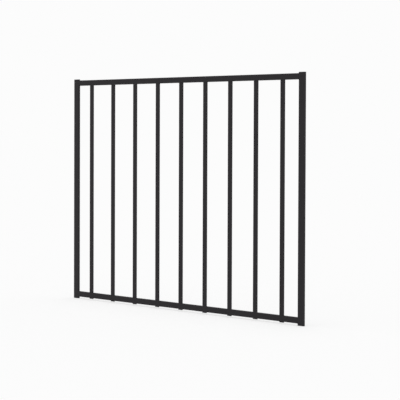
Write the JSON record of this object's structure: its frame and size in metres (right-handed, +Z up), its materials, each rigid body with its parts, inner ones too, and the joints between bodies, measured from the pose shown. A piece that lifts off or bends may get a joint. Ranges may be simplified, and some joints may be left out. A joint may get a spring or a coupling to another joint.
{
  "type": "metal garden fence panel",
  "caption": "Flat welded panel of upright flat bars held in two rectangular-tube rails, between two wider stiles that run a little past the rails.",
  "frame": {"origin": "middle of the left stile's outer face, at half the panel's height, where the panel is fixed to a post", "axes": "+X along the panel towards the right stile, +Z up, -Y towards the front"},
  "size_m": [1.2, 0.01, 0.9],
  "materials": {
    "steel": "black powder coat, satin, with a fine texture",
    "cap_plastic": "moulded black polyethylene, matt"
  },
  "bodies": {
    "root": {"left_stile": "steel", "right_stile": "steel", "top_rail": "steel", "bottom_rail": "steel", "bar_1": "steel", "bar_2": "steel", "bar_3": "steel", "bar_4": "steel", "bar_5": "steel", "bar_6": "steel", "bar_7": "steel", "bar_8": "steel", "bar_9": "steel", "left_top_cap": "cap_plastic", "right_top_cap": "cap_plastic", "left_foot_cap": "cap_plastic", "right_foot_cap": "cap_plastic", "frame_welds": "steel", "top_rail_welds": "steel", "bottom_rail_upper_welds": "steel", "bottom_rail_lower_welds": "steel"}
  },
  "joints": []
}
